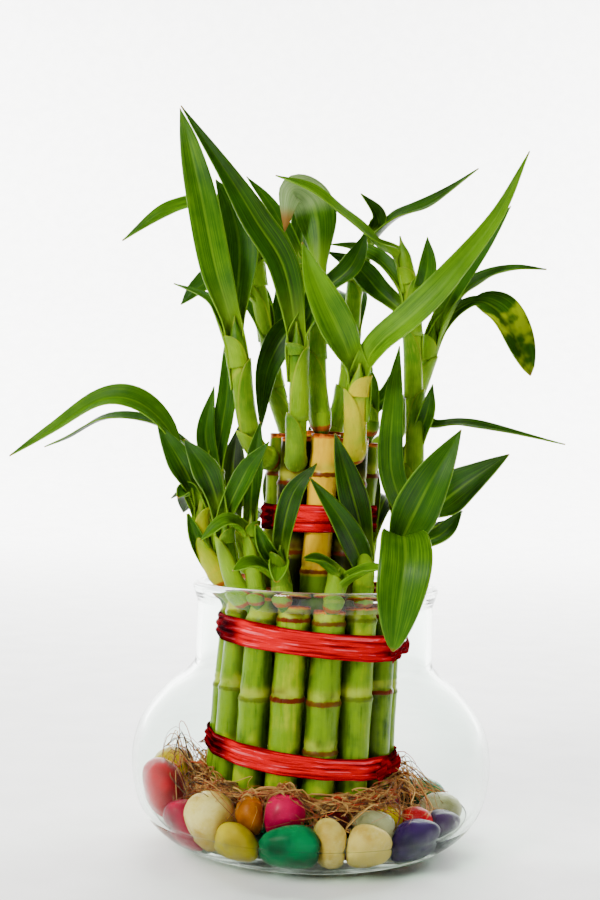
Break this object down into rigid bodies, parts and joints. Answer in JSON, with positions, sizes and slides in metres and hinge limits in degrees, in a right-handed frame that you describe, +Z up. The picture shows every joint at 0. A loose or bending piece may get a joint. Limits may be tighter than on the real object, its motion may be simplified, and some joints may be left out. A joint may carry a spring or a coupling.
{
  "type": "lucky bamboo",
  "caption": "Two tiers of upright green canes with leafy shoots, tied with red satin ribbons, rooted in a round glass bowl of coloured pebbles.",
  "frame": {"origin": "centre of the bowl's flat underside", "axes": "+Z up, along the bowl; -Y towards the viewer (front); +X to the right of the front view; the long shoots reach furthest along Z"},
  "size_m": [0.1689, 0.1152, 0.2232],
  "materials": {
    "bowl_glass": "clear and smooth",
    "pebble_green": "smooth, half glossy",
    "pebble_yellow": "smooth, half glossy",
    "pebble_magenta": "smooth, half glossy",
    "pebble_red": "smooth, half glossy",
    "pebble_cream": "smooth, half glossy",
    "pebble_purple": "smooth, half glossy",
    "pebble_amber": "smooth, half glossy",
    "pebble_pink": "smooth, half glossy",
    "pebble_maroon": "smooth, half glossy",
    "pebble_grey": "smooth, half glossy",
    "pebble_plum": "smooth, half glossy",
    "pebble_orange": "smooth, half glossy",
    "pebble_white": "smooth, half glossy",
    "pebble_blue": "smooth, half glossy",
    "water": "clear and wet",
    "cane_green": "waxy, with leaves",
    "cane_yellow": "waxy, with leaves",
    "ribbon": "satin",
    "roots": "fibrous"
  },
  "bodies": {
    "root": {"glass_bowl": "bowl_glass", "pebble_green_front": "pebble_green", "pebble_yellow_front": "pebble_yellow", "pebble_magenta_left": "pebble_magenta", "pebble_red_left": "pebble_red", "pebble_cream_left": "pebble_cream", "pebble_cream_slanted": "pebble_cream", "pebble_cream_right": "pebble_cream", "pebble_purple_right": "pebble_purple", "pebble_amber_front": "pebble_amber", "pebble_pink_front": "pebble_pink", "pebble_maroon_front": "pebble_maroon", "pebble_grey_front": "pebble_grey", "pebble_plum_right": "pebble_plum", "pebble_red_right": "pebble_red", "pebble_yellow_right": "pebble_yellow", "pebble_grey_right": "pebble_grey", "pebble_yellow_left": "pebble_yellow", "pebble_orange_left": "pebble_orange", "pebble_white_left": "pebble_white", "pebble_green_middle": "pebble_green", "pebble_cream_middle": "pebble_cream", "pebble_blue_middle": "pebble_blue", "pebble_yellow_middle": "pebble_yellow", "pebble_pink_middle": "pebble_pink", "pebble_plum_middle": "pebble_plum", "pebble_green_right": "pebble_green", "pebble_cream_back": "pebble_cream", "pebble_red_back": "pebble_red", "pebble_amber_back": "pebble_amber", "pebble_white_back": "pebble_white", "water": "water", "cane_outer_01": "cane_green", "cane_outer_02": "cane_green", "cane_outer_03": "cane_green", "cane_outer_04": "cane_green", "cane_outer_05": "cane_green", "cane_outer_06": "cane_green", "cane_outer_07": "cane_green", "cane_outer_08": "cane_green", "cane_outer_09": "cane_green", "cane_outer_10": "cane_green", "cane_outer_11": "cane_green", "cane_outer_12": "cane_green", "cane_outer_13": "cane_green", "cane_outer_14": "cane_green", "cane_inner_1": "cane_yellow", "cane_inner_2": "cane_green", "cane_inner_3": "cane_green", "cane_inner_4": "cane_green", "cane_inner_5": "cane_green", "cane_inner_6": "cane_green", "cane_inner_7": "cane_green", "cane_inner_8": "cane_green", "cane_centre": "cane_green", "ribbon_lower": "ribbon", "ribbon_middle": "ribbon", "ribbon_upper": "ribbon", "roots": "roots"}
  },
  "joints": []
}
